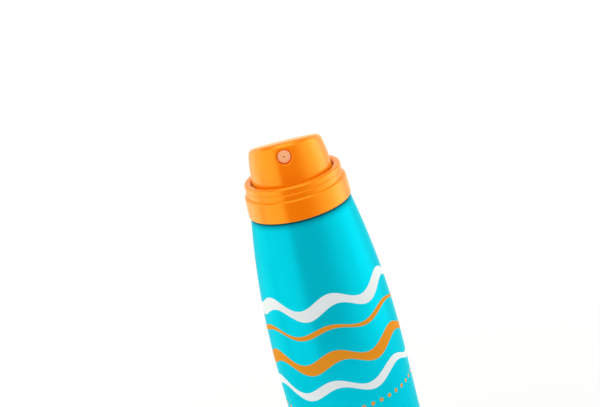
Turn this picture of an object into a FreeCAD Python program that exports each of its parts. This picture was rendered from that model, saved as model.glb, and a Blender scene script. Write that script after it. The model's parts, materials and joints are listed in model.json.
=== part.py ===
import FreeCAD, Part
import math
import os

# Sunscreen mist bottle: a one-piece aluminium aerosol can with a long tapering shoulder, a crimped
# valve with its dip tube, a two-step collar snapped over the valve cup, and a domed spray button with
# a nozzle insert. Frame: +Z up along the can's axis, origin at the centre of the foot it stands on,
# the nozzle facing -Y. Lengths are in millimetres and angles in degrees.

# Can
can_diameter = 53.0
can_wall = 0.45
dome_rise = 8.5  # of the hollow under the base
foot_width = 0.8
foot_bend = 1.2
heel_bend = 5.3
wall_height = 93.0  # from the foot to the end of the straight wall
shoulder_length = 66.4  # of the long taper, along the axis
shoulder_overhang = 6.95  # of the taper's upper end beyond the neck
shoulder_bend = 3.0
neck_bend = 1.0
neck_lean = 66.0  # of the cone between shoulder and neck, from the axis
neck_rise = 1.8  # from the neck's lower corner to the middle of the rolled rim
mouth_diameter = 25.4
curl_size = 2.975  # outer size of the rolled rim's section
curl_turn = 290.0
curl_arcs = 3

# Valve cup and its gasket
cup_wall = 0.35
cup_gasket_thickness = 0.35
cup_skirt = 1.3  # below the middle of the rolled rim
cup_clinch_bulge = 0.95
cup_clinch_height = 1.1
cup_clinch_drop = 1.7  # from the middle of the rolled rim to the start of the clinch
cup_bend = 0.6
cup_floor_drop = 5.8  # from the middle of the rolled rim
pedestal_top_rise = 1.85  # above the middle of the rolled rim
pedestal_radius = 5.4
pedestal_crimp = 0.6
pedestal_hole_radius = 2.4
crimp_gap = 0.15
seal_gap = 0.02

# Valve
stem_gasket_thickness = 1.1
stem_radius = 2.0
stem_bore_radius = 1.0
stem_rise = 7.6  # above the pedestal
stem_shoulder_radius = 2.6
stem_shoulder_height = 1.8
stem_pin_radius = 1.25
stem_pin_length = 5.2
stem_port_radius = 0.3
stem_port_count = 4
housing_flange_height = 2.7
housing_body_radius = 4.35
housing_length = 14.0  # from its rim to the start of the taper
housing_taper = 2.0
chamber_radius = 2.9
chamber_depth = 12.1
chamber_orifice_radius = 0.8
tail_radius = 2.0
tail_bore_radius = 1.1
tail_length = 9.0
spring_wire = 0.5
spring_radius = 2.1
spring_turns = 6
spring_step_share = 0.25  # of a turn, between neighbouring points of the coil
button_travel = 1.6

# Dip tube
tube_wall = 0.5
tube_bend_radius = 100.0
tube_lean = 25.0
tube_end_inset = 1.6  # from the start of the foot's flat to the middle of the cut end
tube_end_clearance = 0.4
tube_seat_gap = 0.4  # between the tube and the housing's taper

# Collar
collar_lift = 0.6  # of its lower edge above the end of the can's long taper
collar_foot_gap = 0.2
collar_foot_wall = 0.4
collar_foot_round = 0.4
collar_foot_rise = 1.7  # height of the bevel that clears the can's shoulder
collar_draft = 0.4  # by which the lower band narrows towards the ledge
collar_step = 1.0  # width of the ledge
collar_land = 2.65  # width of the top between its outer wall and the hole
collar_tier_height = 4.9
collar_wall = 1.2
collar_lip = 1.6
collar_edge_round = 0.75
collar_rim_round = 0.8
collar_web = 1.0
collar_web_rise = 2.1  # of its top above the middle of the rolled rim
collar_web_drop = 0.5  # from the ledge to the top of the web
collar_skirt_wall = 0.9
collar_seat_lip = 0.65
collar_seat_lean = 45.0
collar_bead = 0.4
collar_bead_height = 0.9
collar_rib_count = 12
collar_rib_width = 0.9
snap_clearance = 0.1
cap_groove_depth = 0.2
cap_groove_width = 0.7
cap_groove_rise = 2.3  # above the ledge
key_count = 3
key_width = 1.6
key_reach = 0.75
key_clearance = 0.2

# Spray button
button_gap = 0.7  # all round, in the collar's hole
button_dome_radius = 52.0
button_dome_drop = 1.0  # from the collar's rim down to where the dome starts
button_height = 12.95  # above the collar's rim, on the axis
button_slope = 14.2  # of the top, down towards the back
button_round = 2.6
button_wall = 1.3
button_top_wall = 1.7
button_flange_height = 1.1
button_flange_clearance = 0.2
button_lip_gap = 0.3
dish_radius = 70.0
dish_depth = 0.8
dish_offset = 1.0  # behind the axis
socket_boss_radius = 3.5
socket_clearance = 0.02
socket_gap = 0.45  # above the pedestal when the button is fully pressed
riser_radius = 0.8
feed_radius = 0.5
nozzle_height = 10.8  # above the collar's rim
nozzle_boss_radius = 4.4
recess_clearance = 0.48  # round the insert, in the button's front
recess_depth = 0.5  # behind the insert's face
recess_round = 0.45

# Nozzle insert
insert_radius = 2.45
insert_length = 4.0
insert_recess = 0.65  # behind the button's surface
insert_face_wall = 0.7
insert_post_radius = 1.25
insert_post_gap = 0.25
insert_plenum = 0.5  # behind the insert
insert_groove_width = 0.6
insert_groove_depth = 0.4
insert_groove_count = 3
insert_edge_round = 0.15
orifice_radius = 0.2
orifice_cone_radius = 0.5
orifice_cone_depth = 0.3

# One overrun for every cut that has to pass through a face
overrun = 1.0

AXIS = FreeCAD.Vector(0, 0, 1)
ORIGIN = FreeCAD.Vector(0, 0, 0)
FRONT = FreeCAD.Vector(0, -1, 0)
SIDE = FreeCAD.Vector(1, 0, 0)
JOINED = 1e-6  # points nearer than this are the same point

# The can's wall, as its middle line
wall_radius = (can_diameter - can_wall) / 2
neck_radius = (mouth_diameter + can_wall) / 2
taper_radius = neck_radius + shoulder_overhang
taper_inset = wall_radius - taper_radius
shoulder_radius = (shoulder_length ** 2 + taper_inset ** 2) / (2 * taper_inset)
taper_turn = math.asin(shoulder_length / shoulder_radius)
taper_corner = wall_height + shoulder_radius * math.tan(taper_turn / 2)
shoulder_top = wall_height + shoulder_length
cone_turn = math.radians(neck_lean)
shoulder_reach = shoulder_bend * math.tan((cone_turn - taper_turn) / 2)
shoulder_corner_radius = taper_radius - shoulder_reach * math.sin(taper_turn)
shoulder_corner = shoulder_top + shoulder_reach * math.cos(taper_turn)
neck_corner = shoulder_corner + (shoulder_corner_radius - neck_radius) / math.tan(cone_turn)

# The rolled rim and the valve cup's channel over it
curl_height = neck_corner + neck_rise
curl_tube_radius = curl_size / 2
curl_middle_radius = mouth_diameter / 2 + curl_tube_radius
channel_radius = curl_tube_radius + cup_gasket_thickness + 2 * seal_gap + cup_wall / 2
crown_radius = channel_radius + cup_wall / 2
cup_outer_radius = curl_middle_radius + crown_radius
cup_skirt_bottom = curl_height - cup_skirt
cup_floor = curl_height - cup_floor_drop

# The valve, down from the pedestal
pedestal_top = curl_height + pedestal_top_rise
pedestal_bore = pedestal_radius - cup_wall / 2 - 2 * seal_gap
gasket_top = pedestal_top - cup_wall - seal_gap
gasket_bottom = gasket_top - stem_gasket_thickness
housing_top = gasket_bottom - seal_gap
housing_flange_bottom = housing_top - housing_flange_height
taper_top = housing_top - housing_length
tail_top = taper_top - housing_taper
chamber_floor = housing_top - chamber_depth
stem_top = pedestal_top + stem_rise
stem_shoulder_bottom = housing_top - stem_shoulder_height
port_height = (gasket_top + gasket_bottom) / 2
tube_inner_radius = tail_radius + seal_gap
tube_outer_radius = tube_inner_radius + tube_wall
tube_top = tail_top - tube_seat_gap

# The collar, from the can's shoulder and the valve cup
collar_bottom = shoulder_top + collar_lift
foot_inner_radius = taper_radius + can_wall / 2 + collar_foot_gap
band_radius = foot_inner_radius + collar_foot_wall
ledge_radius = band_radius - collar_draft
band_inner_radius = ledge_radius - collar_wall
tier_radius = ledge_radius - collar_step
tier_inner_radius = tier_radius - collar_wall
hole_radius = tier_radius - collar_land
web_top = curl_height + collar_web_rise
web_bottom = web_top - collar_web
ledge = web_top + collar_web_drop
rim = ledge + collar_tier_height
lip_bottom = rim - collar_lip
skirt_inner_radius = cup_outer_radius + snap_clearance
skirt_outer_radius = skirt_inner_radius + collar_skirt_wall
bead_top = cup_skirt_bottom - snap_clearance
skirt_bottom = bead_top - collar_bead_height
key_radius = tier_inner_radius - key_reach

# The button, from the collar's hole and rim
button_radius = hole_radius - button_gap
flange_radius = tier_inner_radius - button_flange_clearance
flange_top = lip_bottom - button_lip_gap
flange_bottom = flange_top - button_flange_height
dome_start = rim - button_dome_drop
button_top = rim + button_height
top_slope = math.radians(button_slope)
socket_bottom = pedestal_top + button_travel + socket_gap
nozzle_axis = rim + nozzle_height
feed_height = nozzle_axis - (insert_post_radius + insert_radius) / 2
recess_radius = insert_radius + recess_clearance


def spot(radius, height):
    return FreeCAD.Vector(radius, 0, height)


def rounded(corners, closed=True):
    """Segments (start, end, centre) through corners (radius, height, bend), with tangent arcs."""
    points = [spot(radius, height) for radius, height, bend in corners]
    turns = []
    for i, (radius, height, bend) in enumerate(corners):
        here = points[i]
        if bend == 0:
            turns.append((here, here, None))
            continue
        back = (points[i - 1] - here).normalize()
        ahead = (points[(i + 1) % len(points)] - here).normalize()
        half_turn = (math.pi - back.getAngle(ahead)) / 2
        reach = bend * math.tan(half_turn)
        centre = here + (back + ahead).normalize() * (bend / math.cos(half_turn))
        turns.append((here + back * reach, here + ahead * reach, centre))
    segments = []
    for i, (arrive, leave, centre) in enumerate(turns):
        if centre is not None:
            segments.append((arrive, leave, centre))
        if i + 1 < len(turns) or closed:
            following = turns[(i + 1) % len(turns)][0]
            if (following - leave).Length > JOINED:
                segments.append((leave, following, None))
    return segments


def edge_of(start, end, centre):
    if centre is None:
        return Part.LineSegment(start, end).toShape()
    radius = (start - centre).Length
    middle = centre + ((start - centre) + (end - centre)).normalize() * radius
    return Part.Arc(start, middle, end).toShape()


def left_of(segment, point):
    """Unit normal to the left of a segment's travel, at a point on it."""
    start, end, centre = segment
    along = end - start
    across = FreeCAD.Vector(-along.z, 0, along.x).normalize()
    if centre is None:
        return across
    inward = (centre - point).normalize()
    return inward if across.dot(centre - start) > 0 else inward * -1


def sheet_profile(segments, wall):
    """Face that lies half a wall to each side of a tangent path."""
    sides = []
    for offset in (wall / 2, -wall / 2):
        moved = []
        for segment in segments:
            start, end, centre = segment
            moved.append((start + left_of(segment, start) * offset,
                          end + left_of(segment, end) * offset, centre))
        sides.append(moved)
    left, right = sides
    edges = [edge_of(*segment) for segment in left]
    edges.append(edge_of(left[-1][1], right[-1][1], None))
    edges += [edge_of(end, start, centre) for start, end, centre in reversed(right)]
    edges.append(edge_of(right[0][0], left[0][0], None))
    return Part.Face(Part.Wire(edges))


def turned(profile):
    """Solid of revolution about the can's axis, from a face or from corners of its outline."""
    if isinstance(profile, list):
        edges = [edge_of(*segment) for segment in rounded(profile)]
        profile = Part.Face(Part.Wire(edges))
    solid = profile.revolve(ORIGIN, AXIS, 360)
    if solid.Volume < 0:
        solid.reverse()
    return solid


def around(solid, count):
    """Copies of a solid, evenly spaced about the axis."""
    copies = []
    for i in range(count):
        copy = solid.copy()
        copy.rotate(ORIGIN, AXIS, 360 * i / count)
        copies.append(copy)
    return copies


def radial_block(inner, outer, width, bottom, top):
    """Block that runs outwards from the axis, along +Y."""
    corner = FreeCAD.Vector(-width / 2, inner, bottom)
    return Part.makeBox(width, outer - inner, top - bottom, corner)


def base_dome():
    """Radius of the hollow under the base, and the radius at which the foot's flat starts.

    The hollow's arc runs tangentially into the foot's small bend. Both are the wall's middle line.
    """
    foot_start = wall_radius - heel_bend - foot_width
    rise = dome_rise - foot_bend
    bend = (foot_start ** 2 + rise ** 2 - foot_bend ** 2) / (2 * dome_rise)
    return bend, foot_start


def base_surface(radius):
    """Height of the base's upper surface at a distance from the axis, inside the foot."""
    bend = base_dome()[0]
    return dome_rise + can_wall / 2 - bend + math.sqrt((bend + can_wall / 2) ** 2 - radius ** 2)


def base_path():
    """Middle of the base's wall, from the axis to the start of the foot's flat."""
    half = can_wall / 2
    dome_bend, foot_start = base_dome()
    dome_middle = spot(0, half + dome_rise - dome_bend)
    foot_middle = spot(foot_start, half + foot_bend)
    dome_end = dome_middle + (foot_middle - dome_middle).normalize() * dome_bend
    return [
        (spot(0, half + dome_rise), dome_end, dome_middle),
        (dome_end, spot(foot_start, half), foot_middle),
    ]


def curl_path():
    """The rim's outward roll, in arcs of under a half turn."""
    centre = spot(curl_middle_radius, curl_height)
    roll_radius = curl_middle_radius - neck_radius
    places = []
    for i in range(curl_arcs + 1):
        angle = math.pi - math.radians(curl_turn) * i / curl_arcs
        places.append(centre + spot(math.cos(angle), math.sin(angle)) * roll_radius)
    return [(start, end, centre) for start, end in zip(places, places[1:])]


def can_path():
    """Middle of the can's wall, from the centre of the base to the end of the rolled rim."""
    half = can_wall / 2
    wall = rounded([
        (base_dome()[1], half, 0),
        (wall_radius, half, heel_bend),
        (wall_radius, taper_corner, shoulder_radius),
        (shoulder_corner_radius, shoulder_corner, shoulder_bend),
        (neck_radius, neck_corner, neck_bend),
        (neck_radius, curl_height, 0),
    ], closed=False)
    return base_path() + wall + curl_path()


def can_body():
    return turned(sheet_profile(can_path(), can_wall))


def valve_cup():
    """Formed cup: channel over the rolled rim, clinch under it, floor and crimped pedestal."""
    outer = curl_middle_radius + channel_radius
    inner = curl_middle_radius - channel_radius
    crown = curl_height + channel_radius
    clinch = inner + cup_clinch_bulge
    clinch_start = curl_height - cup_clinch_drop
    half = cup_wall / 2
    waist = pedestal_radius - pedestal_crimp
    crimp = housing_flange_bottom - crimp_gap
    path = rounded([
        (outer, cup_skirt_bottom, 0),
        (outer, crown, channel_radius),
        (inner, crown, channel_radius),
        (inner, clinch_start, cup_bend),
        (clinch, clinch_start - cup_clinch_height, cup_bend),
        (clinch, clinch_start - 2 * cup_clinch_height, cup_bend),
        (inner, cup_floor + half, cup_bend),
        (waist, cup_floor + half, cup_bend),
        (waist, crimp - pedestal_crimp, cup_bend),
        (pedestal_radius, crimp, cup_bend),
        (pedestal_radius, pedestal_top - half, cup_bend),
        (pedestal_hole_radius, pedestal_top - half, 0),
    ], closed=False)
    return turned(sheet_profile(path, cup_wall))


def cup_gasket():
    """Sealing ring pinched between the rolled rim and the cup's channel."""
    bend = curl_tube_radius + seal_gap + cup_gasket_thickness / 2
    path = rounded([
        (curl_middle_radius + bend, curl_height, 0),
        (curl_middle_radius + bend, curl_height + bend, bend),
        (curl_middle_radius - bend, curl_height + bend, bend),
        (curl_middle_radius - bend, curl_height, 0),
    ], closed=False)
    return turned(sheet_profile(path, cup_gasket_thickness))


def stem_gasket():
    """Flat ring that the pedestal presses onto the housing's rim."""
    outer = pedestal_bore - cup_bend
    inner = stem_radius + seal_gap
    return turned([
        (inner, gasket_bottom, 0),
        (outer, gasket_bottom, 0),
        (outer, gasket_top, 0),
        (inner, gasket_top, 0),
    ])


def valve_housing():
    """Cup-shaped housing that holds the spring, with a tail for the dip tube."""
    return turned([
        (chamber_radius, housing_top, 0),
        (pedestal_bore - cup_bend, housing_top, 0),
        (pedestal_bore, housing_top - cup_bend, 0),
        (pedestal_bore, housing_flange_bottom, 0),
        (housing_body_radius, housing_flange_bottom, 0),
        (housing_body_radius, taper_top, 0),
        (tail_radius, tail_top, 0),
        (tail_radius, tail_top - tail_length, 0),
        (tail_bore_radius, tail_top - tail_length, 0),
        (tail_bore_radius, tail_top, 0),
        (chamber_orifice_radius, tail_top, 0),
        (chamber_orifice_radius, chamber_floor, 0),
        (chamber_radius, chamber_floor, 0),
    ])


def valve_stem():
    """Hollow stem whose side ports sit inside the stem gasket until the button is pressed."""
    blind_end = port_height - stem_port_radius
    pin_bottom = stem_shoulder_bottom - stem_pin_length
    stem = turned([
        (0, pin_bottom, 0),
        (stem_pin_radius, pin_bottom, 0),
        (stem_pin_radius, stem_shoulder_bottom, 0),
        (stem_shoulder_radius, stem_shoulder_bottom, 0),
        (stem_shoulder_radius, housing_top, 0),
        (stem_radius, housing_top, 0),
        (stem_radius, stem_top, 0),
        (stem_bore_radius, stem_top, 0),
        (stem_bore_radius, blind_end, 0),
        (0, blind_end, 0),
    ])
    port = Part.makeCylinder(stem_port_radius, stem_radius + overrun, AXIS * port_height, FRONT)
    return stem.cut(around(port, stem_port_count))


def helix_point(turn, bottom, pitch):
    angle = 2 * math.pi * turn
    return FreeCAD.Vector(spring_radius * math.cos(angle), spring_radius * math.sin(angle),
                          bottom + pitch * turn)


def helix_heading(turn, pitch):
    angle = 2 * math.pi * turn
    around_axis = 2 * math.pi * spring_radius
    return FreeCAD.Vector(-around_axis * math.sin(angle), around_axis * math.cos(angle),
                          pitch).normalize()


def arc_from(start, heading, end):
    """Arc that leaves start along a heading and reaches end."""
    chord = end - start
    along = chord * (1 / chord.Length)
    half_turn = heading.getAngle(along)
    bulge = (heading - along * heading.dot(along)).normalize()
    middle = (start + end) * 0.5 + bulge * (chord.Length / 2 * math.tan(half_turn / 2))
    return Part.Arc(start, middle, end).toShape()


def biarc(start, start_heading, end, end_heading):
    """Two arcs that meet tangentially and take one place and heading to another."""
    gap = end - start
    both = start_heading + end_heading
    spread = 2 * (1 - start_heading.dot(end_heading))
    reach = (-gap.dot(both) + math.sqrt(gap.dot(both) ** 2 + spread * gap.dot(gap))) / spread
    middle = (start + end + (start_heading - end_heading) * reach) * 0.5
    first = arc_from(start, start_heading, middle)
    second = arc_from(end, end_heading * -1, middle)
    return [first, second]


def least_gap(points, thickness):
    """Least distance between a tube's surface and itself, from points a quarter turn apart."""
    turn = round(1 / spring_step_share)
    gaps = []
    for i, point in enumerate(points):
        for other in points[i + turn // 2 + 1:]:
            gaps.append((other - point).Length - thickness)
    return min(gaps)


def valve_spring():
    """Coil spring between the chamber's floor and the stem's shoulder."""
    half = spring_wire / 2 + seal_gap
    bottom = chamber_floor + half
    pitch = (stem_shoulder_bottom - half - bottom) / spring_turns
    turns = [i * spring_step_share for i in range(round(spring_turns / spring_step_share) + 1)]
    points = [helix_point(turn, bottom, pitch) for turn in turns]
    headings = [helix_heading(turn, pitch) for turn in turns]
    edges = []
    for i in range(len(turns) - 1):
        edges += biarc(points[i], headings[i], points[i + 1], headings[i + 1])
    path = Part.Wire(Part.__sortEdges__(edges))
    section = Part.Wire(Part.makeCircle(spring_wire / 2, points[0], headings[0]))
    print("spring: least gap to itself", round(least_gap(points, spring_wire), 3))
    return path.makePipeShell([section], True, False)


def tube_path():
    """Middle line of the dip tube: straight down, then curving forward to the foot."""
    lean = math.radians(tube_lean)
    end_radius = base_dome()[1] - tube_end_inset
    end_height = (base_surface(end_radius - tube_outer_radius * math.cos(lean))
                  + tube_outer_radius * math.sin(lean) + tube_end_clearance)
    run = (end_radius - tube_bend_radius * (1 - math.cos(lean))) / math.sin(lean)
    arc_start = AXIS * (end_height + run * math.cos(lean) + tube_bend_radius * math.sin(lean))
    arc_centre = arc_start + FRONT * tube_bend_radius

    def on_arc(angle):
        spoke = FRONT * -math.cos(angle) - AXIS * math.sin(angle)
        return arc_centre + spoke * tube_bend_radius

    end = FRONT * end_radius + AXIS * end_height
    return Part.Wire([
        Part.LineSegment(AXIS * tube_top, arc_start).toShape(),
        Part.Arc(arc_start, on_arc(lean / 2), on_arc(lean)).toShape(),
        Part.LineSegment(on_arc(lean), end).toShape(),
    ])


def dip_tube():
    """Tube pushed over the housing's tail, its free end just above the base."""
    path = tube_path()
    solids = []
    for radius in (tube_outer_radius, tube_inner_radius):
        section = Part.Wire(Part.makeCircle(radius, AXIS * tube_top, AXIS))
        solids.append(path.makePipeShell([section], True, False))
    return solids[0].cut(solids[1])


def seat_height(radius):
    """Height of the collar's seat, a cone that clears the cup's round crown."""
    lean = math.radians(collar_seat_lean)
    reach = crown_radius + snap_clearance
    return curl_height + (reach - (radius - curl_middle_radius) * math.cos(lean)) / math.sin(lean)


def collar_ring():
    """The collar's turned section: outer band, cap seat, lip, web and snap skirt."""
    foot_round = min(collar_foot_round, collar_foot_wall - seal_gap)
    seat_tip = skirt_inner_radius - collar_seat_lip
    bead_radius = skirt_inner_radius - collar_bead
    return turned([
        (band_radius, collar_bottom, foot_round),
        (ledge_radius, ledge, collar_edge_round),
        (tier_radius, ledge, 0),
        (tier_radius, rim, collar_rim_round),
        (hole_radius, rim, collar_rim_round),
        (hole_radius, lip_bottom, 0),
        (tier_inner_radius, lip_bottom, 0),
        (tier_inner_radius, web_top, 0),
        (seat_tip, web_top, 0),
        (seat_tip, seat_height(seat_tip), 0),
        (skirt_inner_radius, seat_height(skirt_inner_radius), 0),
        (skirt_inner_radius, bead_top, 0),
        (bead_radius, bead_top - collar_bead, 0),
        (bead_radius, skirt_bottom, 0),
        (skirt_outer_radius, skirt_bottom, 0),
        (skirt_outer_radius, web_bottom, 0),
        (band_inner_radius, web_bottom, 0),
        (band_inner_radius, collar_bottom + collar_foot_rise, 0),
        (foot_inner_radius, collar_bottom, 0),
    ])


def collar():
    """Collar snapped over the valve cup, with a seat for an overcap around its upper step."""
    bite = collar_skirt_wall / 2
    inside_web = web_top - collar_web / 2
    rib = radial_block(skirt_outer_radius - bite, band_inner_radius + bite, collar_rib_width,
                       skirt_bottom, inside_web)
    key = radial_block(key_radius, tier_inner_radius + collar_wall / 2, key_width,
                       inside_web, lip_bottom + collar_lip / 2)
    body = collar_ring().fuse(around(rib, collar_rib_count) + around(key, key_count))
    groove = turned([
        (tier_radius - cap_groove_depth, ledge + cap_groove_rise, 0),
        (tier_radius + cap_groove_depth, ledge + cap_groove_rise - cap_groove_width, 0),
        (tier_radius + cap_groove_depth, ledge + cap_groove_rise + cap_groove_width, 0),
    ])
    return body.cut(groove).removeSplitter()


def domed_block(inset, top_inset, bottom):
    """The button's dome under its sloping top, drawn in by a wall."""
    high = button_top + button_radius
    bend = button_dome_radius - inset
    turn = math.asin((high - dome_start) / bend)
    dome = turned([
        (0, bottom, 0),
        (button_radius - inset, bottom, 0),
        (button_radius - inset, dome_start + bend * math.tan(turn / 2), bend),
        (button_radius - inset - bend * (1 - math.cos(turn)), high, 0),
        (0, high, 0),
    ])
    side = 4 * button_radius
    above = Part.makeBox(side, side, side, FreeCAD.Vector(-side / 2, -side / 2, 0))
    above.rotate(ORIGIN, SIDE, -button_slope)
    above.translate(AXIS * (button_top - top_inset / math.cos(top_slope)))
    return dome.cut(above)


def top_edges(block):
    """The edge where the dome meets the sloping top."""
    return [edge for edge in block.Edges
            if edge.BoundBox.ZMin > dome_start and edge.BoundBox.XLength > button_radius]


def finger_dish():
    """Ball whose lowest cap hollows the top for a fingertip."""
    normal = FreeCAD.Vector(0, math.sin(top_slope), math.cos(top_slope))
    middle = FreeCAD.Vector(0, dish_offset, button_top - dish_offset * math.tan(top_slope))
    return Part.makeSphere(dish_radius, middle + normal * (dish_radius - dish_depth))


def insert_face():
    """Distance from the axis to the insert's face, just behind the dome's surface."""
    rise = nozzle_axis - dome_start
    surface = button_radius - button_dome_radius + math.sqrt(button_dome_radius ** 2 - rise ** 2)
    return surface - insert_recess


def front_cylinder(radius, start, end, height):
    """Cylinder that runs forward from one distance from the axis to another."""
    return Part.makeCylinder(radius, end - start, FRONT * start + AXIS * height, FRONT)


def button_shell():
    """Outer shell with its retaining flange, the stem's boss and the nozzle's boss."""
    block = domed_block(0, 0, flange_bottom)
    shell = block.makeFillet(button_round, top_edges(block))
    inside = domed_block(button_wall / 2, button_top_wall / 2, flange_bottom)
    shell = shell.cut(domed_block(button_wall, button_top_wall, flange_bottom - overrun))
    flange = turned([
        (button_radius - button_wall, flange_bottom, 0),
        (flange_radius, flange_bottom, 0),
        (flange_radius, flange_top, 0),
        (button_radius - button_wall, flange_top, 0),
    ])
    stem_boss = Part.makeCylinder(socket_boss_radius, button_top + button_radius - socket_bottom,
                                  AXIS * socket_bottom)
    nozzle_boss = front_cylinder(nozzle_boss_radius, 0, button_radius, nozzle_axis)
    return shell.fuse([flange, stem_boss.fuse(nozzle_boss).common(inside)])


def recessed(body):
    """Round recess with a rounded lip for the insert, in the button's front."""
    recess = front_cylinder(recess_radius, insert_face() - recess_depth,
                            button_radius + overrun, nozzle_axis)
    body = body.cut(recess)
    lip = []
    for edge in body.Edges:
        box = edge.BoundBox
        wide = abs(box.XLength - 2 * recess_radius) < recess_clearance
        if wide and box.YMin < -insert_face() and box.YLength > JOINED:
            lip.append(edge)
    return body.makeFillet(recess_round, lip)


def spray_button():
    """Hollow button with a stem socket, a feed channel and a pocket for the nozzle insert."""
    body = recessed(button_shell())
    face = insert_face()
    pocket_end = face - insert_length - insert_plenum
    notch = radial_block(key_radius - key_clearance, flange_radius + overrun,
                         key_width + 2 * key_clearance,
                         flange_bottom - overrun, flange_top + overrun)
    stem_hole = Part.makeCylinder(stem_radius + socket_clearance,
                                  stem_top + seal_gap - socket_bottom + overrun,
                                  AXIS * (socket_bottom - overrun))
    riser = Part.makeCylinder(riser_radius, feed_height + riser_radius - stem_top, AXIS * stem_top)
    feed = front_cylinder(feed_radius, 0, pocket_end + insert_plenum / 2, feed_height)
    pocket = front_cylinder(insert_radius + socket_clearance, pocket_end, face + overrun,
                            nozzle_axis)
    post = front_cylinder(insert_post_radius, pocket_end - overrun,
                          face - insert_face_wall - insert_post_gap, nozzle_axis)
    cuts = around(notch, key_count) + [finger_dish(), stem_hole, riser, feed, pocket]
    return body.cut(cuts).fuse(post).removeSplitter()


def nozzle_insert():
    """Cup-shaped insert over the post, with feed grooves and a fine orifice in its face."""
    face = insert_face()
    back = face - insert_length
    body = front_cylinder(insert_radius, back, face, nozzle_axis)
    front_edge = [edge for edge in body.Edges
                  if abs(edge.BoundBox.YMin + face) < JOINED and edge.BoundBox.YLength < JOINED]
    body = body.makeFillet(insert_edge_round, front_edge)
    hollow = front_cylinder(insert_post_radius + socket_clearance, back - overrun,
                            face - insert_face_wall, nozzle_axis)
    hole = front_cylinder(orifice_radius, back, face + overrun, nozzle_axis)
    cone = Part.makeCone(orifice_radius, orifice_cone_radius, orifice_cone_depth,
                         FRONT * (face - orifice_cone_depth) + AXIS * nozzle_axis, FRONT)
    groove = Part.makeBox(insert_groove_width, insert_length - insert_face_wall + overrun,
                          insert_post_radius + insert_groove_depth,
                          FreeCAD.Vector(-insert_groove_width / 2, insert_face_wall - face, 0))
    grooves = []
    for i in range(insert_groove_count):
        copy = groove.copy()
        copy.rotate(ORIGIN, FRONT, 360 * i / insert_groove_count)
        copy.translate(AXIS * nozzle_axis)
        grooves.append(copy)
    return body.cut([hollow, hole, cone] + grooves)


PIECES = {
    "can_body": can_body,
    "valve_cup": valve_cup,
    "cup_gasket": cup_gasket,
    "valve_housing": valve_housing,
    "stem_gasket": stem_gasket,
    "valve_stem": valve_stem,
    "valve_spring": valve_spring,
    "dip_tube": dip_tube,
    "collar": collar,
    "spray_button": spray_button,
    "nozzle_insert": nozzle_insert,
}


def main():
    os.makedirs("parts", exist_ok=True)
    for name, make in PIECES.items():
        shape = make()
        shape.exportStep(os.path.join("parts", name + ".step"))
        print(name, len(shape.Solids), shape.isValid(), round(shape.Volume, 3))


main()
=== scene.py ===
import json
import math

import bpy
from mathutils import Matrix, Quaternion, Vector


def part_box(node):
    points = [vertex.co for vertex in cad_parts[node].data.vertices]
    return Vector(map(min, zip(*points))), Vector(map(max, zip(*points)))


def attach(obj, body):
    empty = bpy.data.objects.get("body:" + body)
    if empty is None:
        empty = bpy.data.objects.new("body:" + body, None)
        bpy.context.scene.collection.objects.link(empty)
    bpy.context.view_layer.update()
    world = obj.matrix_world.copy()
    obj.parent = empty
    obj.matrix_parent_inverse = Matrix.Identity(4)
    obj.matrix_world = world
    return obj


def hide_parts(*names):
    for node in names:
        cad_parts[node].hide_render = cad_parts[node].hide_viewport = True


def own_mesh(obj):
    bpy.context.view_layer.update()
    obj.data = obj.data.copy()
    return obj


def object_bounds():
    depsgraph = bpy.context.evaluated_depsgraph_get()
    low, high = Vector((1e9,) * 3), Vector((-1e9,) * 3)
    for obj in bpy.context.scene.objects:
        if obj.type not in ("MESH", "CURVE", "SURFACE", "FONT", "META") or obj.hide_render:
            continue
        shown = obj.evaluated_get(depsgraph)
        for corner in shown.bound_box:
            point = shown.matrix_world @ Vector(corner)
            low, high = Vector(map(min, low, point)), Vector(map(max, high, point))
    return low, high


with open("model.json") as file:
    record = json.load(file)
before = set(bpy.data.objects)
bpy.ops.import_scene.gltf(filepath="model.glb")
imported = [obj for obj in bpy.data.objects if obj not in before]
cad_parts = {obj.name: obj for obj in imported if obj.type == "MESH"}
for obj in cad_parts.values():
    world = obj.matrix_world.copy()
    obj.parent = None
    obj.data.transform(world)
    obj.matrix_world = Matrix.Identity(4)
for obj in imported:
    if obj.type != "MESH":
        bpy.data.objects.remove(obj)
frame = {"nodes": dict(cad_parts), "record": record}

# Sunscreen mist bottle: the finish of every piece, the printed pattern on the can, the soft light
# and the camera. The frame stands on z = 0 with the nozzle towards -Y. Lengths are in metres and
# colours in linear light.

MM = 0.001
CAD_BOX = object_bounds()
TURN = 2 * math.pi

# The photograph's view
CAMERA_DISTANCE = 0.5
CAMERA_NEAR = 0.01
CAMERA_AZIMUTH = 5.0  # towards +X from straight in front of the nozzle, in degrees
CAMERA_ELEVATION = 18.6
CAMERA_LENS = 76.2
CAMERA_SENSOR = 36.0
CAMERA_HEIGHT_SHARE = 0.8459  # of the object's height, where the camera looks
CAN_LEAN = 15.0  # of the can in the photograph, to the left

CAN_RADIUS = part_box("can_body")[1].x
COLLAR_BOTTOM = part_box("collar")[0].z
COLLAR_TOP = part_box("collar")[1].z
LEDGE = COLLAR_TOP - 4.9 * MM  # of the collar, where its narrower upper part starts
TIER_RADIUS = 19.3 * MM  # of that upper part
HOLE_RADIUS = 16.65 * MM  # of the collar's hole for the button

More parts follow.
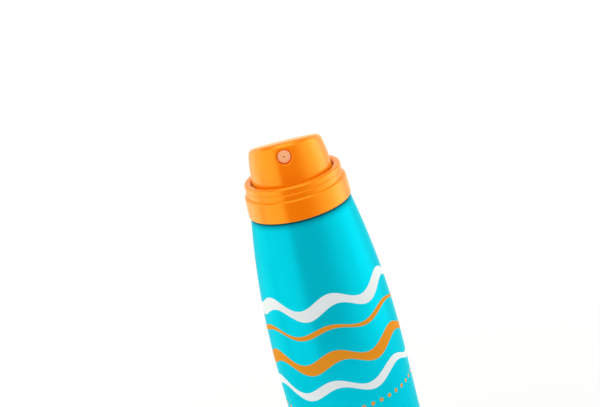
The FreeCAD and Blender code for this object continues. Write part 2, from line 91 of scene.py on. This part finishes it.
# Colours. A pair holds the two ends of a surface's slight variation.
TURQUOISE = ((0.0, 0.51, 0.70), (0.0, 0.535, 0.73))
TURQUOISE_FLECK = (0.05, 0.85, 0.95)
WHITE_INK = ((0.68, 0.735, 0.805), (0.71, 0.765, 0.84))
ORANGE_INK = ((0.66, 0.235, 0.014), (0.70, 0.27, 0.022))
# Painted shadow under the collar: colours of its soft band and of the dark line below the edge
COLLAR_SHADOW_COLOUR = (0.0, 0.05, 0.10)
COLLAR_LINE_SHADE_COLOUR = (0.0, 0.02, 0.03)
BARE_ALUMINIUM = (0.80, 0.80, 0.81)
ORANGE = ((0.98, 0.182, 0.0), (0.99, 0.198, 0.001))
# Painted amber shade for the creases of the orange parts
AMBER_SHADE = (0.84, 0.29, 0.002)
PEACH = ((0.97, 0.455, 0.24), (0.99, 0.485, 0.265))
# Colour of the dark dot round the orifice
ORIFICE_DOT_COLOUR = (0.25, 0.07, 0.03)
CUP_ALUMINIUM = ((0.78, 0.78, 0.79), (0.86, 0.86, 0.87))
RUBBER = ((0.018, 0.018, 0.018), (0.04, 0.04, 0.038))
VALVE_WHITE = ((0.80, 0.79, 0.74), (0.84, 0.83, 0.79))
TUBE_WHITE = ((0.74, 0.75, 0.74), (0.80, 0.81, 0.80))
STEEL = ((0.55, 0.55, 0.56), (0.68, 0.68, 0.69))

# Printed waves: middle height, swing, width, where the wave starts in its turn
WHITE_WAVES = ((125 * MM, 2.4 * MM, 4.6 * MM, 0.4), (90 * MM, 2.4 * MM, 3.4 * MM, 2.0),
               (22 * MM, 1.8 * MM, 1.6 * MM, 0.4))
ORANGE_WAVES = ((115 * MM, 1.6 * MM, 1.7 * MM, 1.2), (102 * MM, 2.4 * MM, 4.6 * MM, 1.2),
                (15 * MM, 1.8 * MM, 3.0 * MM, 1.2))
WAVES_AROUND = 6
WAVE_SWELL = 0.3  # share by which a wave is wider where it climbs and narrower where it falls
DOT_ROW = 80 * MM
DOT_RADIUS = 0.8 * MM
DOTS_AROUND = 42
PRINT_EDGE = 0.06 * MM

# Gloss of the lacquer
LACQUER_METAL = 0.22
LACQUER_ROUGHNESS = (0.19, 0.24)
INK_ROUGHER = 0.12
BARE_ROUGHER = 0.12

# Painted shadow on the can under the collar: a soft dark band and a dark line just below the
# collar's edge, from none to full
COLLAR_SHADOW_HEIGHTS = (COLLAR_BOTTOM - 3.8 * MM, COLLAR_BOTTOM - 0.2 * MM)
COLLAR_SHADOW_CURVE = 1.9  # power of its growth
COLLAR_SHADOW_STRENGTH = 0.85
COLLAR_SHADOW_METAL = 0.3  # share of the lacquer's metal that shows through the full painted shadow
COLLAR_LINE_SHADE_HEIGHTS = (COLLAR_BOTTOM - 1.1 * MM, COLLAR_BOTTOM - 0.3 * MM)
COLLAR_LINE_SHADE_STRENGTH = 0.65

# Bare metal under the can, from full to none
HOLLOW_RADII = (21.3 * MM, 21.7 * MM)
HOLLOW_HEIGHTS = (10 * MM, 10.5 * MM)
RUBBED_HEIGHTS = (0.25 * MM, 0.7 * MM)
RUBBED_RAGGED = 0.5 * MM

# Painted amber shade in the gap round the button and in the corner of the collar's ledge, from full
# to none
GAP_RADII = (HOLE_RADIUS + 0.2 * MM, HOLE_RADIUS + 0.7 * MM)
GAP_HEIGHTS = (COLLAR_TOP - 0.3 * MM, COLLAR_TOP + 1.5 * MM)
GAP_SHADE = 0.45
LEDGE_REACH = (0.2 * MM, 0.6 * MM)
LEDGE_SHADE = 0.7

# Dark dot round the orifice, from full to none
ORIFICE_DOT_RADII = (0.2 * MM, 0.45 * MM)
ORIFICE_DOT_STRENGTH = 0.85

# Floor
FLOOR_RADIUS = 0.25
FLOOR_RINGS = 24
FLOOR_SPOKES = 96
FLOOR_DROP = 0.05 * MM  # below the can's foot
FLOOR_COLOUR = (0.9, 0.9, 0.9, 1)
FLOOR_FADE = (0.06, 0.23)  # from the middle, where the floor turns plain white for the camera
FLOOR_WHITE = 0.45  # share of plain white within that

# Soft boxes of the studio: azimuth from the camera to its right, elevation, half width, half
# height, soft edge, all in degrees, and level
WARM_BOXES = {
    "left": (-90, -3, 54, 42, 18, 1.6),
    "left_flag": (-93, -26, 6, 16, 5, -0.7),
    "right": (88, -3, 46, 42, 62, 1.72),
}
WHITE_BOXES = {
    "right_lamp": (98, 0, 18, 34, 16, 0.75),
    "ceiling": (0, 90, 180, 26, 16, 1.5),
    "front_top": (-10, 58, 60, 22, 20, 1.4),
}
BACKDROP = (180, 5, 42, 60, 16)  # the white behind the object, given as the boxes are
STUDIO_LEVEL = 0.17  # between the soft boxes
WARM = (1.0, 0.97, 0.79, 1)
WHITE = (1.0, 1.0, 1.0, 1)


class Nodes:
    """Adds nodes to the tree of a material or a world, and links them."""

    def __init__(self, owner):
        owner.use_nodes = True
        self.tree = owner.node_tree

    def add(self, kind, **settings):
        node = self.tree.nodes.new(kind)
        for key, value in settings.items():
            setattr(node, key, value)
        return node

    def feed(self, socket, value):
        """Links an output to a socket, or sets the socket's own value."""
        if isinstance(value, bpy.types.NodeSocket):
            self.tree.links.new(value, socket)
        else:
            socket.default_value = value

    def math(self, operation, *values):
        node = self.add("ShaderNodeMath", operation=operation)
        for socket, value in zip(node.inputs, values):
            self.feed(socket, value)
        return node.outputs["Value"]

    def between(self, factor, low, high, start=0.0, end=1.0, kind="LINEAR"):
        """A number that goes from low to high as the factor goes from start to end."""
        node = self.add("ShaderNodeMapRange", clamp=True, interpolation_type=kind)
        self.feed(node.inputs["Value"], factor)
        names = ("From Min", "From Max", "To Min", "To Max")
        for name, value in zip(names, (start, end, low, high)):
            node.inputs[name].default_value = value
        return node.outputs["Result"]

    def axes(self, vector):
        """The X, Y and Z of a vector."""
        node = self.add("ShaderNodeSeparateXYZ")
        self.feed(node.inputs["Vector"], vector)
        return node.outputs

    def length(self, vector):
        node = self.add("ShaderNodeVectorMath", operation="LENGTH")
        self.feed(node.inputs[0], vector)
        return node.outputs["Value"]

    def mix(self, factor, first, second):
        """A shader between two shaders."""
        node = self.add("ShaderNodeMixShader")
        for socket, value in zip(node.inputs, (factor, first, second)):
            self.feed(socket, value)
        return node.outputs["Shader"]


class Finish(Nodes):
    """A material whose patterns follow the object's own coordinates."""

    def __init__(self, name, **sockets):
        self.material = bpy.data.materials.new(name)
        super().__init__(self.material)
        self.shader = self.tree.nodes["Principled BSDF"]
        self.place = self.add("ShaderNodeTexCoord").outputs["Object"]
        for socket, value in sockets.items():
            self.shader.inputs[socket.replace("_", " ")].default_value = value

    def stretched(self, along):
        """The object's coordinates, scaled by a share along each axis."""
        node = self.add("ShaderNodeVectorMath", operation="MULTIPLY")
        self.feed(node.inputs[0], self.place)
        node.inputs[1].default_value = along
        return node.outputs["Vector"]

    def noise(self, size, detail=2.0, along=(1, 1, 1)):
        """Noise whose grains are about one size across."""
        node = self.add("ShaderNodeTexNoise")
        self.feed(node.inputs["Vector"], self.stretched(along))
        node.inputs["Scale"].default_value = 1 / size
        node.inputs["Detail"].default_value = detail
        return node.outputs["Fac"]

    def blend(self, factor, first, second):
        """A colour between two colours."""
        node = self.add("ShaderNodeMix", data_type="RGBA")
        self.feed(node.inputs["Factor"], factor)
        for name, value in (("A", first), ("B", second)):
            self.feed(node.inputs[name], (*value, 1) if isinstance(value, tuple) else value)
        return node.outputs["Result"]

    def across(self):
        """Distance from the can's axis."""
        return self.length(self.stretched((1, 1, 0)))

    def height(self):
        return self.axes(self.place)["Z"]

    def turn(self):
        """Angle round the can's axis, 0 straight in front."""
        axes = self.axes(self.place)
        return self.math("ARCTAN2", axes["X"], self.math("MULTIPLY", axes["Y"], -1.0))

    def reach(self, first, second):
        """Distance that two distances at right angles make."""
        squares = [self.math("POWER", value, 2.0) for value in (first, second)]
        return self.math("SQRT", self.math("ADD", *squares))

    def off(self, value, middle):
        """How far a value is from a middle."""
        return self.math("ABSOLUTE", self.math("SUBTRACT", value, middle))

    def either(self, *masks):
        """1 where any of some masks is 1."""
        total = masks[0]
        for mask in masks[1:]:
            total = self.math("MAXIMUM", total, mask)
        return total

    def both(self, first, second):
        """1 where two masks are 1."""
        return self.math("MULTIPLY", first, second)

    def printed_wave(self, middle, swing, width, phase):
        """1 on a wave round the can and 0 beside it."""
        turn = self.math("MULTIPLY_ADD", self.turn(), WAVES_AROUND, phase)
        line = self.math("MULTIPLY_ADD", self.math("SINE", turn), swing, middle)
        swell = WAVE_SWELL * width / 2
        half = self.math("MULTIPLY_ADD", self.math("COSINE", turn), swell, width / 2)
        beyond = self.math("SUBTRACT", self.off(self.height(), line), half)
        return self.between(beyond, 1, 0, end=PRINT_EDGE)

    def printed_dots(self):
        """1 on each dot of a row round the can and 0 beside them."""
        cell = self.math("FRACT", self.math("MULTIPLY", self.turn(), DOTS_AROUND / TURN))
        spacing = TURN * CAN_RADIUS / DOTS_AROUND
        along = self.math("MULTIPLY", self.math("SUBTRACT", cell, 0.5), spacing)
        up = self.math("SUBTRACT", self.height(), DOT_ROW)
        return self.between(self.reach(along, up), 1, 0, DOT_RADIUS, DOT_RADIUS + PRINT_EDGE)

    def colour(self, value):
        self.feed(self.shader.inputs["Base Color"], value)

    def metal(self, value):
        self.feed(self.shader.inputs["Metallic"], value)

    def roughness(self, value):
        self.feed(self.shader.inputs["Roughness"], value)

    def relief(self, *layers):
        """Bumps in the surface, from pairs of a pattern and the depth that it has."""
        normal = None
        for pattern, depth in layers:
            node = self.add("ShaderNodeBump")
            node.inputs["Distance"].default_value = depth
            self.feed(node.inputs["Height"], pattern)
            if normal is not None:
                self.feed(node.inputs["Normal"], normal)
            normal = node.outputs["Normal"]
        self.feed(self.shader.inputs["Normal"], normal)


def can_lacquer():
    """Turquoise lacquer over drawn aluminium with printed waves, bare and rubbed under the base,
    and a painted shadow under the collar.
    """
    finish = Finish("can_lacquer", IOR=1.04, Specular_Tint=(0.0, 1.0, 0.9, 1))
    grain = finish.noise(0.25 * MM, detail=1.0)
    drawn = finish.noise(1.2 * MM, detail=3.0, along=(1, 1, 0.02))
    speck = finish.noise(0.18 * MM, detail=3.0)
    cloud = finish.between(finish.noise(14 * MM), 0, 1, start=0.3, end=0.7)
    flecks = finish.between(grain, 0, 0.1, start=0.5, end=0.75)
    colour = finish.blend(flecks, finish.blend(cloud, *TURQUOISE), TURQUOISE_FLECK)

    # Painted shadow on the can under the collar: a soft darkening band and a dark line just below
    # the collar's edge
    collar_shadow = finish.math("POWER", finish.between(finish.height(), 0, 1, *COLLAR_SHADOW_HEIGHTS), COLLAR_SHADOW_CURVE)
    colour = finish.blend(finish.math("MULTIPLY", collar_shadow, COLLAR_SHADOW_STRENGTH), colour, COLLAR_SHADOW_COLOUR)
    collar_line_shade = finish.between(finish.height(), 0, COLLAR_LINE_SHADE_STRENGTH, *COLLAR_LINE_SHADE_HEIGHTS)
    colour = finish.blend(collar_line_shade, colour, COLLAR_LINE_SHADE_COLOUR)

    white = finish.either(*[finish.printed_wave(*wave) for wave in WHITE_WAVES])
    orange = finish.either(*[finish.printed_wave(*wave) for wave in ORANGE_WAVES],
                           finish.printed_dots())
    ink = finish.either(white, orange)
    colour = finish.blend(white, colour, finish.blend(speck, *WHITE_INK))
    colour = finish.blend(orange, colour, finish.blend(speck, *ORANGE_INK))

    ragged = finish.between(finish.noise(1.5 * MM, detail=4.0), -RUBBED_RAGGED, RUBBED_RAGGED)
    rubbed = finish.between(finish.math("ADD", finish.height(), ragged), 1, 0, *RUBBED_HEIGHTS)
    hollow = finish.both(finish.between(finish.across(), 1, 0, *HOLLOW_RADII),
                         finish.between(finish.height(), 1, 0, *HOLLOW_HEIGHTS))
    bare = finish.either(hollow, rubbed)
    finish.colour(finish.blend(bare, colour, BARE_ALUMINIUM))

    # Less metal shine where the painted shadow lies
    metal = finish.both(finish.between(ink, LACQUER_METAL, 0), finish.between(collar_shadow, 1, COLLAR_SHADOW_METAL))
    finish.metal(finish.either(bare, metal))
    rougher = finish.math("ADD", finish.between(bare, 0, BARE_ROUGHER),
                          finish.between(ink, 0, INK_ROUGHER))
    finish.roughness(finish.math("ADD", finish.between(drawn, *LACQUER_ROUGHNESS), rougher))
    finish.relief((finish.noise(2.6 * MM, detail=1.0), 0.004 * MM), (grain, 0.0006 * MM),
                  (ink, 0.01 * MM))
    return finish.material


def orange_plastic():
    """Glossy moulded orange plastic with flow marks, faint orange peel and painted amber shade in
    its creases.
    """
    finish = Finish("orange_plastic", IOR=1.65, Specular_IOR_Level=0.95,
                    Specular_Tint=(1.0, 0.9, 0.1, 1), Sheen_Weight=0.6, Sheen_Roughness=0.35,
                    Sheen_Tint=(0.95, 0.85, 0.1, 1))
    flow = finish.noise(9 * MM, detail=3.0, along=(1, 1, 0.35))
    colour = finish.blend(finish.between(flow, 0, 1, start=0.3, end=0.7), *ORANGE)
    # Painted amber shade in the gap round the button and in the corner of the collar's ledge
    gap = finish.both(finish.between(finish.across(), GAP_SHADE, 0, *GAP_RADII),
                      finish.between(finish.height(), 1, 0, *GAP_HEIGHTS))
    near_tier = finish.between(finish.off(finish.across(), TIER_RADIUS), 1, 0, *LEDGE_REACH)
    near_ledge = finish.between(finish.off(finish.height(), LEDGE), 1, 0, *LEDGE_REACH)
    ledge = finish.math("MULTIPLY", finish.both(near_tier, near_ledge), LEDGE_SHADE)
    finish.colour(finish.blend(finish.either(gap, ledge), colour, AMBER_SHADE))
    finish.roughness(finish.between(flow, 0.17, 0.22, start=0.3, end=0.7))
    finish.relief((finish.noise(1.8 * MM, detail=1.0), 0.004 * MM),
                  (finish.noise(0.35 * MM), 0.0008 * MM))
    return finish.material


def peach_plastic():
    """Satin peach plastic of the nozzle insert, with a dark dot round the orifice."""
    finish = Finish("peach_plastic", IOR=1.5)
    low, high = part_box("nozzle_insert")
    axes = finish.axes(finish.place)
    reach = finish.reach(finish.math("SUBTRACT", axes["X"], (low.x + high.x) / 2),
                         finish.math("SUBTRACT", axes["Z"], (low.z + high.z) / 2))
    # A dark dot round the orifice
    orifice_dot = finish.between(reach, ORIFICE_DOT_STRENGTH, 0, *ORIFICE_DOT_RADII)
    cloud = finish.noise(1.5 * MM)
    finish.colour(finish.blend(orifice_dot, finish.blend(cloud, *PEACH), ORIFICE_DOT_COLOUR))
    finish.roughness(finish.between(cloud, 0.3, 0.4))
    finish.relief((finish.noise(0.2 * MM), 0.001 * MM))
    return finish.material


def cup_aluminium():
    """Pressed aluminium with turned draw marks."""
    finish = Finish("cup_aluminium", Metallic=1.0)
    rings = finish.add("ShaderNodeTexNoise", noise_dimensions="1D")
    finish.feed(rings.inputs["W"], finish.across())
    rings.inputs["Scale"].default_value = 1 / (0.15 * MM)
    finish.colour(finish.blend(finish.noise(3 * MM), *CUP_ALUMINIUM))
    finish.roughness(finish.between(rings.outputs["Fac"], 0.22, 0.38))
    finish.relief((rings.outputs["Fac"], 0.002 * MM))
    return finish.material


def gasket_rubber():
    finish = Finish("gasket_rubber", IOR=1.5)
    cloud = finish.noise(0.6 * MM, detail=4.0)
    finish.colour(finish.blend(cloud, *RUBBER))
    finish.roughness(finish.between(cloud, 0.65, 0.85))
    finish.relief((cloud, 0.01 * MM))
    return finish.material


def valve_plastic():
    finish = Finish("valve_plastic", IOR=1.48, Subsurface_Weight=0.15, Subsurface_Scale=1 * MM)
    cloud = finish.noise(2 * MM)
    finish.colour(finish.blend(cloud, *VALVE_WHITE))
    finish.roughness(finish.between(cloud, 0.35, 0.5))
    finish.relief((finish.noise(0.3 * MM), 0.002 * MM))
    return finish.material


def tube_plastic():
    finish = Finish("tube_plastic", IOR=1.5, Subsurface_Weight=0.3, Subsurface_Scale=1 * MM)
    drawn = finish.noise(0.5 * MM, along=(1, 1, 0.01))
    finish.colour(finish.blend(drawn, *TUBE_WHITE))
    finish.roughness(finish.between(drawn, 0.25, 0.4))
    finish.relief((drawn, 0.003 * MM))
    return finish.material


def spring_steel():
    finish = Finish("spring_steel", Metallic=1.0)
    drawn = finish.noise(0.12 * MM, along=(1, 1, 3))
    finish.colour(finish.blend(drawn, *STEEL))
    finish.roughness(finish.between(drawn, 0.2, 0.35))
    finish.relief((drawn, 0.001 * MM))
    return finish.material


def dress(finishes):
    """Gives each frame node the finish of its material slot."""
    for subpart in frame["record"]["subparts"]:
        node = frame["nodes"][subpart["node"]]
        node.data.materials.clear()
        node.data.materials.append(finishes[subpart["material_slot"]])


def make_spring(material):
    """A copy of the frame's spring, riding with the can."""
    node = frame["nodes"]["valve_spring"]
    piece = bpy.data.objects.new("coil_spring", node.data.copy())
    piece.data.materials.clear()
    piece.data.materials.append(material)
    bpy.context.scene.collection.objects.link(piece)
    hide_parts("valve_spring")
    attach(piece, "can")
    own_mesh(piece)


def floor_material():
    """White for the camera, with a share of real light in the middle that keeps the shadow."""
    material = bpy.data.materials.new("floor")
    nodes = Nodes(material)
    nodes.tree.nodes.remove(nodes.tree.nodes["Principled BSDF"])
    diffuse = nodes.add("ShaderNodeBsdfDiffuse")
    diffuse.inputs["Color"].default_value = FLOOR_COLOUR
    white = nodes.add("ShaderNodeEmission")
    reach = nodes.length(nodes.add("ShaderNodeTexCoord").outputs["Object"])
    share = nodes.math("MULTIPLY", nodes.between(reach, FLOOR_WHITE, 1, *FLOOR_FADE),
                       nodes.add("ShaderNodeLightPath").outputs["Is Camera Ray"])
    surface = nodes.mix(share, diffuse.outputs["BSDF"], white.outputs["Emission"])
    nodes.feed(nodes.tree.nodes["Material Output"].inputs["Surface"], surface)
    return material


def make_floor():
    """A pale round table top under the can."""
    points = [(0.0, 0.0, 0.0)]
    for ring in range(1, FLOOR_RINGS + 1):
        reach = FLOOR_RADIUS * ring / FLOOR_RINGS
        for spoke in range(FLOOR_SPOKES):
            turn = TURN * spoke / FLOOR_SPOKES
            points.append((reach * math.cos(turn), reach * math.sin(turn), 0.0))
    faces = []
    for spoke in range(FLOOR_SPOKES):
        after = (spoke + 1) % FLOOR_SPOKES
        faces.append((0, 1 + spoke, 1 + after))
        for ring in range(FLOOR_RINGS - 1):
            inner = 1 + ring * FLOOR_SPOKES
            outer = inner + FLOOR_SPOKES
            faces.append((inner + spoke, outer + spoke, outer + after, inner + after))
    mesh = bpy.data.meshes.new("floor")
    mesh.from_pydata(points, [], faces)
    mesh.materials.append(floor_material())
    floor = bpy.data.objects.new("floor", mesh)
    bpy.context.scene.collection.objects.link(floor)
    floor.location.z = -FLOOR_DROP


def make_world():
    """Soft boxes beside and above the object, and white where the camera, gloss or glass looks."""
    world = bpy.data.worlds.new("studio")
    bpy.context.scene.world = world
    nodes = Nodes(world)
    axes = nodes.axes(nodes.add("ShaderNodeTexCoord").outputs["Generated"])
    azimuth = nodes.math("ARCTAN2", axes["X"], nodes.math("MULTIPLY", axes["Y"], -1))
    elevation = nodes.math("ARCSINE", axes["Z"])

    def window(offset, half, edge):
        """1 within half of the middle and 0 beyond it, with a soft edge."""
        outer, inner = math.radians(half + edge / 2), math.radians(half - edge / 2)
        return nodes.between(nodes.math("ABSOLUTE", offset), 0, 1, outer, inner, kind="SMOOTHSTEP")

    def pane(middle, height, half_width, half_height, edge):
        turned = nodes.math("SUBTRACT", azimuth, math.radians(middle + CAMERA_AZIMUTH))
        across = window(nodes.math("WRAP", turned, math.pi, -math.pi), half_width, edge)
        up = window(nodes.math("SUBTRACT", elevation, math.radians(height)), half_height, edge)
        return nodes.math("MULTIPLY", across, up)

    def light(boxes, level, colour):
        """The light of some boxes on top of an even level."""
        for *box, strength in boxes.values():
            level = nodes.math("MULTIPLY_ADD", pane(*box), strength, level)
        node = nodes.add("ShaderNodeBackground")
        node.inputs["Color"].default_value = colour
        nodes.feed(node.inputs["Strength"], level)
        return node.outputs["Background"]

    studio = nodes.add("ShaderNodeAddShader")
    nodes.feed(studio.inputs[0], light(WARM_BOXES, 0.0, WARM))
    nodes.feed(studio.inputs[1], light(WHITE_BOXES, STUDIO_LEVEL, WHITE))
    white = nodes.tree.nodes["Background"]
    white.inputs["Color"].default_value = WHITE
    path = nodes.add("ShaderNodeLightPath").outputs
    mirrored = nodes.math("MULTIPLY", path["Is Glossy Ray"], pane(*BACKDROP))
    straight = nodes.math("MAXIMUM", path["Is Camera Ray"], path["Is Transmission Ray"])
    seen = nodes.math("MAXIMUM", straight, mirrored)
    surface = nodes.mix(seen, studio.outputs["Shader"], white.outputs["Background"])
    nodes.feed(nodes.tree.nodes["World Output"].inputs["Surface"], surface)


def make_camera():
    """The photograph's view, with the can leaning to the left."""
    data = bpy.data.cameras.new("camera")
    data.sensor_width = CAMERA_SENSOR
    data.lens = CAMERA_LENS
    data.clip_start = CAMERA_NEAR
    camera = bpy.data.objects.new("camera", data)
    bpy.context.scene.collection.objects.link(camera)
    bpy.context.scene.camera = camera
    azimuth, elevation = math.radians(CAMERA_AZIMUTH), math.radians(CAMERA_ELEVATION)
    back = Vector((math.sin(azimuth) * math.cos(elevation),
                   -math.cos(azimuth) * math.cos(elevation), math.sin(elevation)))
    target = Vector((0, 0, CAD_BOX[1].z * CAMERA_HEIGHT_SHARE))
    camera.location = target + back * CAMERA_DISTANCE
    camera.rotation_mode = "QUATERNION"
    roll = Quaternion((0, 0, 1), math.radians(-CAN_LEAN))
    camera.rotation_quaternion = back.to_track_quat("Z", "Y") @ roll


def main():
    bpy.context.scene.view_settings.view_transform = "Standard"
    make_camera()
    make_world()
    make_floor()
    steel = spring_steel()
    dress({
        "can_lacquer": can_lacquer(),
        "cup_aluminium": cup_aluminium(),
        "gasket_rubber": gasket_rubber(),
        "valve_plastic": valve_plastic(),
        "spring_steel": steel,
        "tube_plastic": tube_plastic(),
        "orange_plastic": orange_plastic(),
        "peach_plastic": peach_plastic(),
    })
    make_spring(steel)


main()
